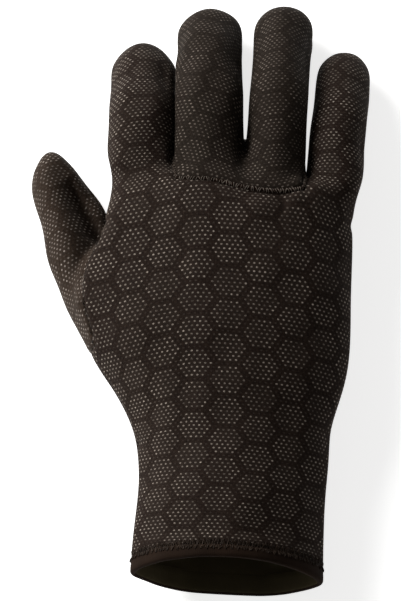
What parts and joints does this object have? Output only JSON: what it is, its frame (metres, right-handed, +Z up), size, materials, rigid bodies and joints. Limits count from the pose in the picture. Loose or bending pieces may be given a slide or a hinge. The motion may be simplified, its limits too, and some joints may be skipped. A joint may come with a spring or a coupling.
{
  "type": "diving glove",
  "caption": "Neoprene diving glove for the right hand with separate fingers, lying palm down, with an open cuff, inset finger backs and a flat hem.",
  "frame": {"origin": "on the flat underside of the palm side, below the heel of the palm, at the height of the surface the glove lies on", "axes": "+X across the hand away from the thumb, +Y from the cuff to the fingertips, +Z up out of the back of the hand"},
  "size_m": [0.153, 0.2759, 0.0505],
  "materials": {
    "printed_jersey_back": "matte brown-black nylon jersey on foam neoprene, printed with grey dots in hexagons",
    "printed_jersey_fingers": "matte brown-black nylon jersey on foam neoprene, printed with grey dots in hexagons",
    "printed_jersey_palm": "matte brown-black nylon jersey on foam neoprene, printed with grey dots in hexagons",
    "printed_jersey_thumb": "matte brown-black nylon jersey on foam neoprene, printed with grey dots in hexagons",
    "plain_jersey_hem": "plain matte brown-black nylon jersey"
  },
  "bodies": {
    "root": {"back_panel": "printed_jersey_back", "middle_ring_back": "printed_jersey_fingers", "palm_panel": "printed_jersey_palm", "thumb_panel": "printed_jersey_thumb", "cuff_hem": "plain_jersey_hem"}
  },
  "joints": []
}
